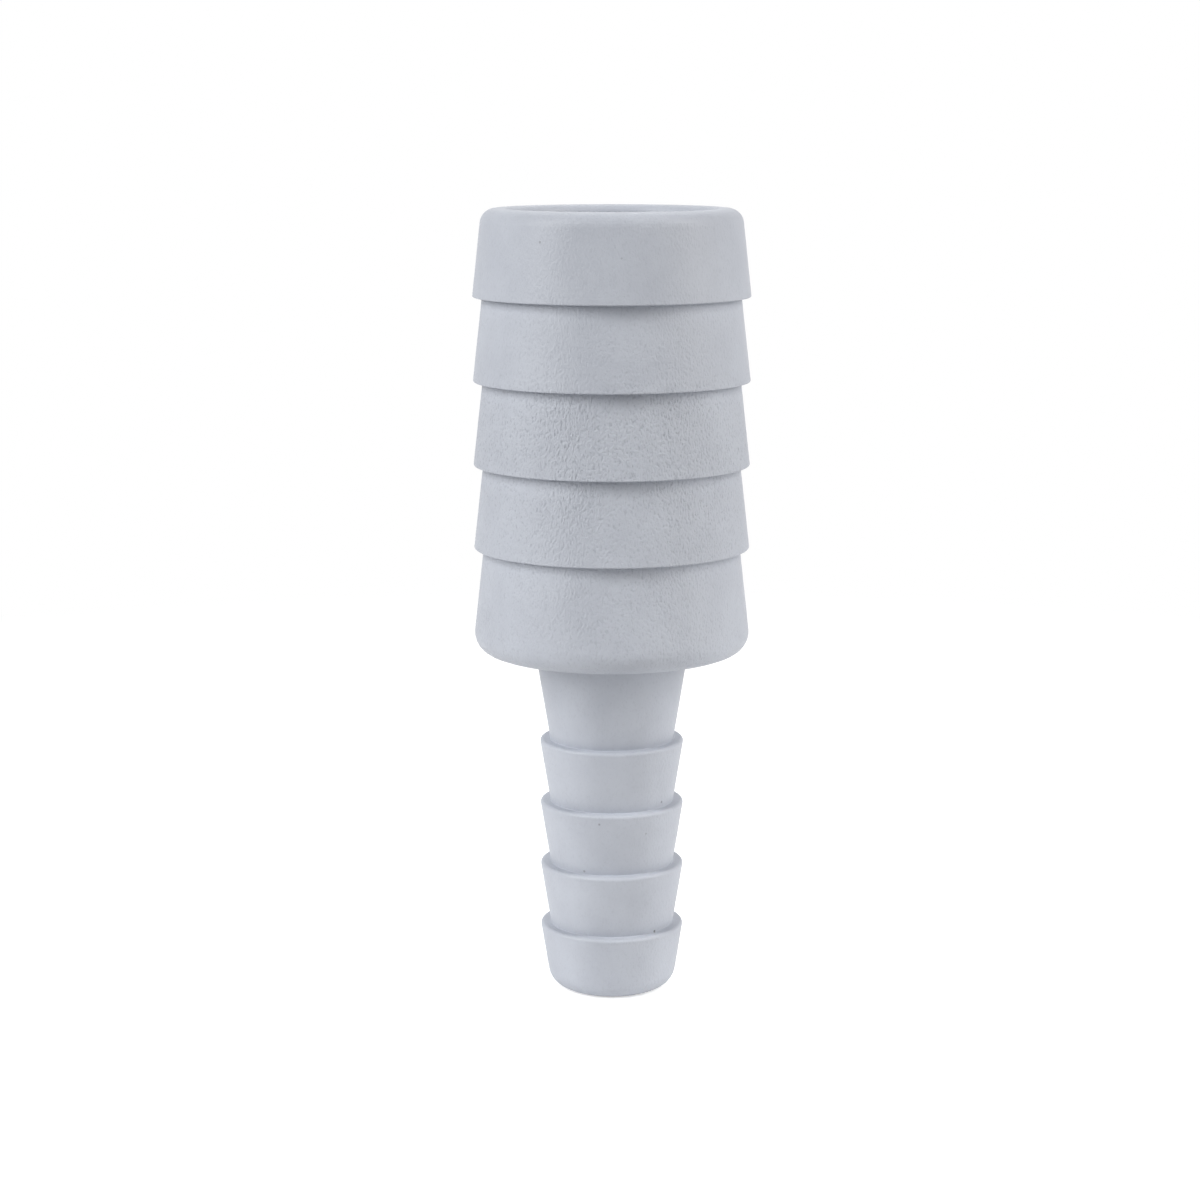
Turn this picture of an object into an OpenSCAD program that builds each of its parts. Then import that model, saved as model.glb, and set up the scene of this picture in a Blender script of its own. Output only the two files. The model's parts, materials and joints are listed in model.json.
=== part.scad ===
// Straight hose reducer with a barbed tail at each end, moulded in one piece.
// It stands on the end of the small tail. Its axis is Z and all sizes are in millimetres.

/* [Large tail] */
// Diameter over the crests of the large barbs
large_crest_d = 27.5; // [26.8:0.1:30]
// Diameter at the roots of the large barbs
large_root_d = 25.6; // [24.6:0.1:26.4]
// Diameter of the bore through the large tail
large_bore_d = 20; // [14:0.1:21]
// Number of large barbs
large_barbs = 5; // [2:1:8]
// Length of one large barb
large_pitch = 8.3; // [5:0.1:12]
// Length of the last large barb, at the open end
large_end_len = 8.6; // [5:0.1:12]
// Rounding of the outer edge of the large open end
large_end_round = 1.5; // [0.5:0.1:2.2]
// Rounding of the edge of the bore at the large open end
large_mouth_round = 0.8; // [0.1:0.1:1.4]
// Rounding of the crest of each large barb
large_crest_round = 0.1; // [0.05:0.05:0.4]

/* [Shoulder] */
// Length that the large barb next to the shoulder runs on past the others
band_len = 2.3; // [0.5:0.1:6]
// Rounding of the outer edge of the shoulder
shoulder_round = 2; // [0.5:0.1:2.5]
// Wall between the shoulder and the funnel in the bore, along the axis
web = 3; // [2:0.1:6]
// Slope of the funnel between the two bores, in degrees above the horizontal
funnel_angle = 45; // [25:1:60]

/* [Small tail] */
// Diameter over the crests of the small barbs
small_crest_d = 14.6; // [13.8:0.1:16]
// Diameter at the roots of the small barbs
small_root_d = 12.5; // [12.2:0.1:13.2]
// Diameter of the bore through the small tail
small_bore_d = 8; // [5:0.1:8.8]
// Number of small barbs
small_barbs = 4; // [2:1:8]
// Length of one small barb
small_pitch = 6.4; // [4:0.1:10]
// Length of the last small barb, at the open end
small_end_len = 6.7; // [4:0.1:10]
// Length of the tapered neck above the small barbs
neck_len = 9; // [3:0.1:20]
// Rounding of the outer edge of the small open end
small_end_round = 2; // [0.5:0.1:2.1]
// Softening of the edge of the bore at the small open end
small_mouth_round = 0.2; // [0.05:0.05:0.3]
// Rounding of the crest of each small barb
small_crest_round = 0.3; // [0.1:0.05:0.6]

/* [Edges] */
// Fillet in each inner corner on the outside
root_fillet = 0.05; // [0.05:0.05:0.3]

/* [Hidden] */
$fn = 128;

// Steps in which a rounding follows its arc
arc_steps = 6;
// Narrowest flat ring kept between the two roundings of an open end
rim_flat = 0.03;

large_crest_r = large_crest_d / 2;
large_root_r = large_root_d / 2;
large_bore_r = large_bore_d / 2;
small_crest_r = small_crest_d / 2;
small_root_r = small_root_d / 2;
small_bore_r = small_bore_d / 2;

// Growth of the radius along a barb, for each millimetre of length
large_taper = (large_crest_r - large_root_r) / large_pitch;
small_taper = (small_crest_r - small_root_r) / small_pitch;

// Heights above the end that the part stands on
neck_z = small_end_len + (small_barbs - 1) * small_pitch;
shoulder_z = neck_z + neck_len;
band_z = shoulder_z + band_len;
first_z = band_z + (large_barbs - 1) * large_pitch;
top_z = first_z + large_end_len;

// The neck and the band carry on the taper of the barbs beside them
neck_r = small_root_r + small_taper * neck_len;
tip_r = small_crest_r - small_taper * small_end_len;
band_r = large_crest_r + large_taper * band_len;

// Share of both roundings that the wall at an open end has room for, 1 where they fit whole
function rim_share(wall, taper, end_round, mouth_round) =
    min(1, (wall - rim_flat) / (end_round * tan((90 - atan(taper)) / 2) + mouth_round));

large_share = rim_share(large_root_r - large_bore_r, large_taper, large_end_round, large_mouth_round);
small_share = rim_share(tip_r - small_bore_r, small_taper, small_end_round, small_mouth_round);

// The funnel keeps the web's thickness above the corner of the neck
funnel_rise = tan(funnel_angle);
funnel_low_z = shoulder_z + web - (neck_r - small_bore_r) * funnel_rise;
funnel_top_z = shoulder_z + web + (large_bore_r - neck_r) * funnel_rise;

function unit(v) = v / norm(v);

// Arc of radius r that rounds the corner b between the points a and c
function corner_arc(a, b, c, r) =
    let (
        to_a = unit(a - b),
        to_c = unit(c - b),
        half = acos(to_a * to_c) / 2,
        centre = b + unit(to_a + to_c) * r / sin(half),
        first = b + to_a * r / tan(half) - centre,
        turn = (180 - 2 * half) * (cross(to_a, to_c) > 0 ? -1 : 1)
    )
    [for (k = [0 : arc_steps])
        let (angle = atan2(first.y, first.x) + turn * k / arc_steps)
        centre + r * [cos(angle), sin(angle)]];

// Closed outline from corners written as [radius, height, rounding]
function outline(corners) =
    let (
        count = len(corners),
        at = [for (p = corners) [p[0], p[1]]]
    )
    [for (i = [0 : count - 1])
        each corners[i][2] == 0
            ? [at[i]]
            : corner_arc(at[(i + count - 1) % count], at[i], at[(i + 1) % count], corners[i][2])];

// Outside of the large tail from its open end down, with the steps facing down
large_steps = [
    for (i = [0 : large_barbs - 2])
        let (z = first_z - i * large_pitch)
        each [[large_crest_r, z, large_crest_round], [large_root_r, z, root_fillet]]
];

// Outside of the small tail from the neck down, with the steps facing up
small_steps = [
    for (i = [0 : small_barbs - 1])
        let (z = neck_z - i * small_pitch)
        each [[small_root_r, z, root_fillet], [small_crest_r, z, small_crest_round]]
];

// Outside of the whole part from top to bottom
outside = concat(
    [[large_root_r, top_z, large_end_round * large_share]],
    large_steps,
    [[band_r, shoulder_z, shoulder_round], [neck_r, shoulder_z, root_fillet]],
    small_steps,
    [[tip_r, 0, small_end_round * small_share]]
);

// Two bores and the funnel between them, from bottom to top
bore = [
    [small_bore_r, 0, small_mouth_round * small_share],
    [small_bore_r, funnel_low_z, 0],
    [large_bore_r, funnel_top_z, 0],
    [large_bore_r, top_z, large_mouth_round * large_share]
];

module reducer() {
    color([0.70, 0.73, 0.78])
        rotate_extrude()
            polygon(outline(concat(outside, bore)));
}

reducer();
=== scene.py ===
import json
import math

import bpy
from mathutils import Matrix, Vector, noise


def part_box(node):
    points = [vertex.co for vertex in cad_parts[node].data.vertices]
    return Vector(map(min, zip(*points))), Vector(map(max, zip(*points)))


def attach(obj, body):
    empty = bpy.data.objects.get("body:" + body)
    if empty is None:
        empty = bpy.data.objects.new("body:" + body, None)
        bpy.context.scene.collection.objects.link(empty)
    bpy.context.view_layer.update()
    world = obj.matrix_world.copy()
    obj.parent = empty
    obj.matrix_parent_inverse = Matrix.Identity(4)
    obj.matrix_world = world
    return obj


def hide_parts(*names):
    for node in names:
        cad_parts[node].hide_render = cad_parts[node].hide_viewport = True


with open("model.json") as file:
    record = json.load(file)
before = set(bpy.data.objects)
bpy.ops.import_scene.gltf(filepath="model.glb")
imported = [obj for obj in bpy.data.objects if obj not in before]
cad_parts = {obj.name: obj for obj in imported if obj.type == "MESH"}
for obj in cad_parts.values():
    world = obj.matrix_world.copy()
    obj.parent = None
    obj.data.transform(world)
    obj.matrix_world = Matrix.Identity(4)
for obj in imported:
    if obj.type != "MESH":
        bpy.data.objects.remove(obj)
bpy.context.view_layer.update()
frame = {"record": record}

MM = 0.001
NODE = "reducer"


# The fitting: driving sizes in metres, with its length and its bores taken from the frame

LOW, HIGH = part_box(NODE)
LENGTH = HIGH[2] - LOW[2]
MOUNTS = {mount["name"]: mount for mount in frame["record"]["mounts"]}
LARGE_BORE_R = MOUNTS["large_bore"]["dims"]["r_mm"] * MM
SMALL_BORE_R = MOUNTS["small_bore"]["dims"]["r_mm"] * MM

LARGE_CREST_R = 13.75 * MM
LARGE_ROOT_R = 12.8 * MM
LARGE_BARBS = 5
LARGE_PITCH = 8.3 * MM
LARGE_END_LENGTH = 8.6 * MM
LARGE_END_ROUND = 1.5 * MM
LARGE_CREST_ROUND = 0.1 * MM

BAND_LENGTH = 2.3 * MM
SHOULDER_ROUND = 2.0 * MM
WEB = 3.0 * MM
FUNNEL_ANGLE = math.radians(45)

SMALL_CREST_R = 7.3 * MM
SMALL_ROOT_R = 6.25 * MM
SMALL_BARBS = 4
SMALL_PITCH = 6.4 * MM
SMALL_END_ROUND = 2.0 * MM
SMALL_CREST_ROUND = 0.3 * MM

LARGE_MOUTH_ROUND = 0.8 * MM
SMALL_MOUTH_ROUND = 0.2 * MM
ROOT_FILLET = 0.05 * MM

LARGE_TAPER = (LARGE_CREST_R - LARGE_ROOT_R) / LARGE_PITCH
SMALL_TAPER = (SMALL_CREST_R - SMALL_ROOT_R) / SMALL_PITCH

FIRST_Z = LENGTH - LARGE_END_LENGTH
BAND_Z = FIRST_Z - (LARGE_BARBS - 1) * LARGE_PITCH
SHOULDER_Z = BAND_Z - BAND_LENGTH
NECK_LENGTH = 9.0 * MM
NECK_Z = SHOULDER_Z - NECK_LENGTH
SMALL_END_LENGTH = NECK_Z - (SMALL_BARBS - 1) * SMALL_PITCH

# Fineness of the turned mesh
AROUND = 240
ARC_STEPS = 7
OUTSIDE_SPACING = 0.7 * MM
BORE_SPACING = 2.5 * MM
EDGE_LOOP = 0.08 * MM

# Slight unevenness of the moulded skin, always inwards: a broad and a finer noise
UNEVEN_DEPTH = 0.022 * MM
UNEVEN_SPAN = 5.0 * MM
UNEVEN_FINER = 2.3
BROAD_SHARE = 0.7
FINE_SHARE = 0.3


def corner_arc(before, corner, after, radius):
    """Points of the arc that rounds a corner of the profile."""
    to_before = (before - corner).normalized()
    to_after = (after - corner).normalized()
    half = to_before.angle(to_after) / 2
    centre = corner + (to_before + to_after).normalized() * radius / math.sin(half)
    first = corner + to_before * radius / math.tan(half) - centre
    turn = math.pi - 2 * half
    if to_before.x * to_after.y - to_before.y * to_after.x > 0:
        turn = -turn
    start = math.atan2(first.y, first.x)
    angles = [start + turn * step / ARC_STEPS for step in range(ARC_STEPS + 1)]
    return [centre + radius * Vector((math.cos(a), math.sin(a))) for a in angles]


def rounded(corners):
    """Closed profile from corners written as (radius, height, rounding)."""
    places = [Vector(corner[:2]) for corner in corners]
    points = []
    for i, (place, corner) in enumerate(zip(places, corners)):
        if corner[2]:
            after = places[(i + 1) % len(places)]
            points += corner_arc(places[i - 1], place, after, corner[2])
        else:
            points.append(place)
    return points


def filled(points):
    """The profile with points added along its straight runs, close to the corners too."""
    dense = []
    for here, there in zip(points, points[1:] + points[:1]):
        dense.append(here)
        run = (there - here).length
        bore = max(here.x, there.x) <= LARGE_BORE_R and here.x == there.x
        spacing = BORE_SPACING if bore else OUTSIDE_SPACING
        if run < 3 * EDGE_LOOP:
            continue
        inner = run - 2 * EDGE_LOOP
        count = max(1, round(inner / spacing))
        stops = [EDGE_LOOP + inner * k / count for k in range(count + 1)]
        dense += [here.lerp(there, stop / run) for stop in stops]
    return dense


def fitting_corners():
    """Corners of the section: the outside from top to bottom, then the bore from bottom to top."""
    corners = [(LARGE_ROOT_R, LENGTH, LARGE_END_ROUND)]
    for i in range(LARGE_BARBS - 1):
        z = FIRST_Z - i * LARGE_PITCH
        corners += [(LARGE_CREST_R, z, LARGE_CREST_ROUND), (LARGE_ROOT_R, z, ROOT_FILLET)]
    neck_r = SMALL_ROOT_R + SMALL_TAPER * NECK_LENGTH
    band_r = LARGE_CREST_R + LARGE_TAPER * BAND_LENGTH
    corners += [(band_r, SHOULDER_Z, SHOULDER_ROUND), (neck_r, SHOULDER_Z, ROOT_FILLET)]
    for i in range(SMALL_BARBS):
        z = NECK_Z - i * SMALL_PITCH
        corners += [(SMALL_ROOT_R, z, ROOT_FILLET), (SMALL_CREST_R, z, SMALL_CREST_ROUND)]
    corners.append((SMALL_CREST_R - SMALL_TAPER * SMALL_END_LENGTH, 0.0, SMALL_END_ROUND))
    rise = math.tan(FUNNEL_ANGLE)
    corners += [
        (SMALL_BORE_R, 0.0, SMALL_MOUTH_ROUND),
        (SMALL_BORE_R, SHOULDER_Z + WEB - (neck_r - SMALL_BORE_R) * rise, 0),
        (LARGE_BORE_R, SHOULDER_Z + WEB + (LARGE_BORE_R - neck_r) * rise, 0),
        (LARGE_BORE_R, LENGTH, LARGE_MOUTH_ROUND),
    ]
    return corners


def uneven(point):
    """Depth of the skin's unevenness at a point, from 0 to its full depth."""
    broad = noise.noise(point / UNEVEN_SPAN) * BROAD_SHARE
    fine = noise.noise(point * UNEVEN_FINER / UNEVEN_SPAN) * FINE_SHARE
    return UNEVEN_DEPTH * min(1.0, max(0.0, 0.5 + (broad + fine)))


def is_skin(point):
    """Whether a point of the profile gets the uneven skin: the outside, and one row low in the funnel."""
    if point.y < SHOULDER_Z:
        return point.x > SMALL_BORE_R + SMALL_MOUTH_ROUND
    return point.x > LARGE_BORE_R + LARGE_MOUTH_ROUND


def turned_mesh(name, profile):
    """A closed mesh of the profile turned about Z, with a slightly uneven outside."""
    verts = []
    for point in profile:
        for j in range(AROUND):
            angle = 2 * math.pi * j / AROUND
            place = Vector((point.x * math.cos(angle), point.x * math.sin(angle), point.y))
            if is_skin(point):
                place -= Vector((place.x, place.y, 0)).normalized() * uneven(place)
            verts.append(place)
    faces = []
    rows = len(profile)
    for i in range(rows):
        here = i * AROUND
        below = (i + 1) % rows * AROUND
        for j in range(AROUND):
            right = (j + 1) % AROUND
            faces.append((here + j, below + j, below + right, here + right))
    mesh = bpy.data.meshes.new(name)
    mesh.from_pydata(verts, [], faces)
    mesh.update()
    mesh.shade_smooth()
    return mesh


def add_piece(name, mesh, material):
    """A piece that stands for the node and rides with the row's one body."""
    piece = bpy.data.objects.new(name, mesh)
    bpy.context.scene.collection.objects.link(piece)
    mesh.materials.append(material)
    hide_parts(NODE)
    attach(piece, "root")


# Materials

PLASTIC = (0.497, 0.523, 0.578, 1)
PLASTIC_DARK = (0.455, 0.479, 0.534, 1)
# Painted shade: the colour that darkens the grain's pits in place of their own shadow
PAINTED_PIT_SHADE = (0.33, 0.35, 0.40, 1)
SPECK = (0.12, 0.12, 0.13, 1)
PLASTIC_ROUGHNESS = 0.5
ROUGHNESS_SPREAD = 0.04
PLASTIC_IOR = 1.47

# Mottle, from the darker to the paler tint over a range of its noise
MOTTLE_SPAN = 6.0 * MM
MOTTLE_DETAIL = 4.0
MOTTLE_FINE_SHARE = 0.6
MOTTLE_RANGE = (0.3, 0.7)

# Grain of the mould: fine pits, taller than wide, with painted shade in the pits where its noise is low
GRAIN_SPAN = 0.20 * MM
GRAIN_STRETCH = 1.7
GRAIN_DEPTH = 0.17 * MM
PIT_RANGE = (0.28, 0.48)
PIT_SHADE = 0.75

# Broad patches in which the grain is weaker or stronger
PATCH_SPAN = 9.0 * MM
PATCH_DETAIL = 1.0
PATCH_RANGE = (0.25, 0.65)
PATCH_STRENGTH = (0.65, 1.1)

# Strength of the grain by height: most on the third large barb, least on the small tail
GRAIN_BY_HEIGHT = [
    (0.0 * MM, 0.25),
    (33.0 * MM, 0.25),
    (36.0 * MM, 0.55),
    (49.0 * MM, 0.75),
    (55.0 * MM, 1.00),
    (61.0 * MM, 1.00),
    (63.5 * MM, 0.50),
    (73.0 * MM, 0.30),
]

# Share of a speck's radius over which it has its full strength
SPECK_CORE = 0.6

# Specks seen on the front: degrees to the right of the middle, height, radius, strength
SPECKS = [
    (-31.0, 76.2 * MM, 0.16 * MM, 0.45),
    (4.0, 74.8 * MM, 0.12 * MM, 0.25),
    (52.0, 20.1 * MM, 0.17 * MM, 0.60),
    (-10.0, 18.6 * MM, 0.14 * MM, 0.45),
    (29.5, 17.4 * MM, 0.12 * MM, 0.30),
    (-26.0, 13.4 * MM, 0.15 * MM, 0.45),
    (43.5, 6.8 * MM, 0.17 * MM, 0.80),
]


# Colour inputs and output of the mix node, by their place in its lists
MIX_FIRST = 6
MIX_SECOND = 7
MIX_RESULT = 2


class Nodes:
    """Short ways to add nodes to one material or world."""

    def __init__(self, tree):
        self.tree = tree
        tree.nodes.clear()

    def fill(self, socket, value):
        """Links a socket to another node's output, or sets it to a constant."""
        if isinstance(value, bpy.types.NodeSocket):
            self.tree.links.new(value, socket)
        else:
            socket.default_value = value

    def add(self, kind, settings=None, **inputs):
        """A node with its settings and its named inputs, where _ stands for a space."""
        made = self.tree.nodes.new(kind)
        for name, value in (settings or {}).items():
            setattr(made, name, value)
        for name, value in inputs.items():
            self.fill(made.inputs[name.replace("_", " ")], value)
        return made

    def math(self, operation, *values):
        made = self.add("ShaderNodeMath", {"operation": operation})
        for socket, value in zip(made.inputs, values):
            self.fill(socket, value)
        return made.outputs[0]

    def distance(self, operation, *values):
        """LENGTH of a vector or DISTANCE of two."""
        made = self.add("ShaderNodeVectorMath", {"operation": operation})
        for socket, value in zip(made.inputs, values):
            self.fill(socket, value)
        return made.outputs["Value"]

    def ramp(self, value, from_low, from_high, to_low=0.0, to_high=1.0):
        """A smooth step between two values."""
        made = self.add("ShaderNodeMapRange", {"interpolation_type": "SMOOTHSTEP"}, Value=value)
        ends = (("From Min", from_low), ("From Max", from_high), ("To Min", to_low), ("To Max", to_high))
        for name, number in ends:
            made.inputs[name].default_value = number
        return made.outputs["Result"]

    def mix(self, factor, first, second):
        made = self.add("ShaderNodeMix", {"data_type": "RGBA"}, Factor=factor)
        self.fill(made.inputs[MIX_FIRST], first)
        self.fill(made.inputs[MIX_SECOND], second)
        return made.outputs[MIX_RESULT]

    def noise(self, place, span, detail=2.0, roughness=0.5):
        made = self.add("ShaderNodeTexNoise", Vector=place, Scale=1 / span)
        self.fill(made.inputs["Detail"], detail)
        self.fill(made.inputs["Roughness"], roughness)
        return made.outputs[0]


def skin_radius(height):
    """Radius of the outside at a height, leaving out the roundings of the corners."""
    if height >= FIRST_Z:
        return LARGE_ROOT_R + LARGE_TAPER * (LENGTH - height)
    if height >= SHOULDER_Z:
        barb = min(int((FIRST_Z - height) / LARGE_PITCH), LARGE_BARBS - 2)
        return LARGE_ROOT_R + LARGE_TAPER * (FIRST_Z - barb * LARGE_PITCH - height)
    if height >= NECK_Z:
        return SMALL_ROOT_R + SMALL_TAPER * (height - NECK_Z)
    barb = min(int((NECK_Z - height) / SMALL_PITCH), SMALL_BARBS - 1)
    return SMALL_CREST_R - SMALL_TAPER * (NECK_Z - barb * SMALL_PITCH - height)


def speck_mask(nodes, place):
    """Strength of the small dark specks at a place, 0 away from them."""
    mask = 0.0
    for degrees, height, radius, strength in SPECKS:
        angle = math.radians(degrees)
        skin = skin_radius(height)
        centre = (skin * math.sin(angle), -skin * math.cos(angle), height)
        gap = nodes.distance("DISTANCE", place, centre)
        spot = nodes.ramp(gap, SPECK_CORE * radius, radius, strength, 0.0)
        mask = nodes.math("MAXIMUM", spot, mask)
    return mask


def grain_strength(nodes, height):
    """Strength of the grain at a height, read off the list above."""
    share = nodes.math("DIVIDE", height, LENGTH)
    made = nodes.add("ShaderNodeValToRGB", Fac=share)
    stops = made.color_ramp.elements
    while len(stops) < len(GRAIN_BY_HEIGHT):
        stops.new(1.0)
    for stop, (place, strength) in zip(stops, GRAIN_BY_HEIGHT):
        stop.position = place / LENGTH
        stop.color = (strength, strength, strength, 1)
    return made.outputs["Color"]


def plastic_material():
    """Pale grey moulded plastic with a fine grain whose pits get painted shade, a slight mottle and a few
    specks.
    """
    material = bpy.data.materials.new("moulded_plastic")
    material.use_nodes = True
    nodes = Nodes(material.node_tree)
    place = nodes.add("ShaderNodeTexCoord").outputs["Object"]
    height = nodes.add("ShaderNodeSeparateXYZ", Vector=place).outputs["Z"]

    stretch = nodes.add("ShaderNodeMapping", Vector=place, Scale=(1, 1, 1 / GRAIN_STRETCH)).outputs[0]
    grain = nodes.noise(stretch, GRAIN_SPAN)
    patches = nodes.ramp(nodes.noise(place, PATCH_SPAN, PATCH_DETAIL), *PATCH_RANGE, *PATCH_STRENGTH)
    amount = nodes.math("MULTIPLY", grain_strength(nodes, height), patches)

    mottle = nodes.noise(place, MOTTLE_SPAN, MOTTLE_DETAIL, MOTTLE_FINE_SHARE)
    tint = nodes.mix(nodes.ramp(mottle, *MOTTLE_RANGE), PLASTIC_DARK, PLASTIC)
    # Painted shade in the pits of the grain, darkest where the grain's noise is lowest
    painted_pit_shade = nodes.math("MULTIPLY", nodes.ramp(grain, *PIT_RANGE, PIT_SHADE, 0.0), amount)
    tint = nodes.mix(painted_pit_shade, tint, PAINTED_PIT_SHADE)
    tint = nodes.mix(speck_mask(nodes, place), tint, SPECK)

    relief = nodes.math("MULTIPLY", grain, amount)
    bump = nodes.add("ShaderNodeBump", Height=relief, Distance=GRAIN_DEPTH, Strength=1.0).outputs[0]
    smoothest = PLASTIC_ROUGHNESS - ROUGHNESS_SPREAD
    roughest = PLASTIC_ROUGHNESS + ROUGHNESS_SPREAD
    sheen = nodes.ramp(mottle, *MOTTLE_RANGE, smoothest, roughest)
    shader = nodes.add("ShaderNodeBsdfPrincipled", Base_Color=tint, Roughness=sheen, IOR=PLASTIC_IOR)
    nodes.fill(shader.inputs["Normal"], bump)
    nodes.add("ShaderNodeOutputMaterial", Surface=shader.outputs[0])
    return material


def seen_directly(nodes):
    """1 for what the camera sees, also in a reflection or through something clear, else 0."""
    path = nodes.add("ShaderNodeLightPath").outputs
    seen = nodes.math("MAXIMUM", path["Is Camera Ray"], path["Is Glossy Ray"])
    return nodes.math("MAXIMUM", seen, path["Is Transmission Ray"])


# Stage, light and camera

# Floor: a pale card to CARD_START, lifted a little to the eye, which fades by CARD_END into a black floor
# that only looks white
FLOOR_SIZE = 3.0
FLOOR_COLOUR = (0.90, 0.90, 0.90, 1)
FLOOR_DARK = (0.0, 0.0, 0.0, 1)
FLOOR_GLOW = 0.50
CARD_START = 0.11
CARD_END = 0.23
AMBIENT = 0.03
WHITE = (1, 1, 1, 1)

# Lamps: name, degrees to the right of the camera, degrees up, size, power, colour
LAMP_DISTANCE = 1.0
LAMPS = [
    ("left_strip", -60, 31, (0.26, 0.80), 9.9, (1.0, 1.0, 1.0)),
    ("right_strip", 75, 27, (0.26, 0.95), 9.2, (1.0, 0.985, 0.97)),
    ("back_panel", 180, 52, (0.60, 0.60), 2.0, (1.0, 1.0, 1.0)),
]

AIM = Vector((0, 0, 0.040))
CAMERA_DISTANCE = 0.268
CAMERA_PITCH = math.radians(10.32)
CAMERA_LENS = 80.0
SENSOR = 36.0
PHOTO_WIDTH = 1200
AXIS_COLUMN = 611.8


def make_floor():
    """A pale card under the fitting, which fades into a floor that only looks white."""
    half = FLOOR_SIZE / 2
    mesh = bpy.data.meshes.new("floor")
    corners = [(-half, -half, 0), (half, -half, 0), (half, half, 0), (-half, half, 0)]
    mesh.from_pydata(corners, [], [(0, 1, 2, 3)])
    material = bpy.data.materials.new("floor")
    material.use_nodes = True
    nodes = Nodes(material.node_tree)
    place = nodes.add("ShaderNodeTexCoord").outputs["Object"]
    away = nodes.ramp(nodes.distance("LENGTH", place), CARD_START, CARD_END)
    white = nodes.ramp(away, 0.0, 1.0, FLOOR_GLOW, 1.0)
    strength = nodes.math("MULTIPLY", seen_directly(nodes), white)
    matte = nodes.add("ShaderNodeBsdfDiffuse", Color=nodes.mix(away, FLOOR_COLOUR, FLOOR_DARK))
    glow = nodes.add("ShaderNodeEmission", Color=WHITE, Strength=strength)
    both = nodes.add("ShaderNodeAddShader")
    nodes.fill(both.inputs[0], matte.outputs[0])
    nodes.fill(both.inputs[1], glow.outputs[0])
    nodes.add("ShaderNodeOutputMaterial", Surface=both.outputs[0])
    mesh.materials.append(material)
    floor = bpy.data.objects.new("floor", mesh)
    bpy.context.scene.collection.objects.link(floor)


def make_world():
    """A little even light from all round, and a white background for the camera."""
    world = bpy.data.worlds.new("studio")
    world.use_nodes = True
    nodes = Nodes(world.node_tree)
    strength = nodes.ramp(seen_directly(nodes), 0.0, 1.0, AMBIENT, 1.0)
    sky = nodes.add("ShaderNodeBackground", Color=WHITE, Strength=strength)
    nodes.add("ShaderNodeOutputWorld", Surface=sky.outputs[0])
    bpy.context.scene.world = world


def softbox(name, place, size, power, colour):
    """A rectangular soft lamp aimed at the middle of the fitting."""
    lamp = bpy.data.lights.new(name, "AREA")
    lamp.shape = "RECTANGLE"
    lamp.size, lamp.size_y = size
    lamp.energy = power
    lamp.color = colour
    holder = bpy.data.objects.new(name, lamp)
    holder.location = place
    holder.rotation_euler = (AIM - place).to_track_quat("-Z", "Y").to_euler()
    bpy.context.scene.collection.objects.link(holder)


def make_lights():
    """Two tall strip lights at the sides and a panel high up behind."""
    for name, turn_degrees, rise_degrees, size, power, colour in LAMPS:
        turn = math.radians(turn_degrees)
        rise = math.radians(rise_degrees)
        level = math.cos(rise)
        away = Vector((math.sin(turn) * level, -math.cos(turn) * level, math.sin(rise)))
        softbox(name, AIM + away * LAMP_DISTANCE, size, power, colour)


def make_camera():
    """The photograph's view: a little above the rim, looking down at the middle."""
    data = bpy.data.cameras.new("camera")
    data.lens = CAMERA_LENS
    data.sensor_width = SENSOR
    data.shift_x = (PHOTO_WIDTH / 2 - AXIS_COLUMN) / PHOTO_WIDTH
    camera = bpy.data.objects.new("camera", data)
    back = Vector((0, -math.cos(CAMERA_PITCH), math.sin(CAMERA_PITCH)))
    camera.location = AIM + back * CAMERA_DISTANCE
    camera.rotation_euler = (-back).to_track_quat("-Z", "Y").to_euler()
    bpy.context.scene.collection.objects.link(camera)
    bpy.context.scene.camera = camera


make_floor()
make_world()
make_lights()
make_camera()
add_piece("fitting", turned_mesh("fitting", filled(rounded(fitting_corners()))), plastic_material())
bpy.context.scene.view_settings.view_transform = "Standard"
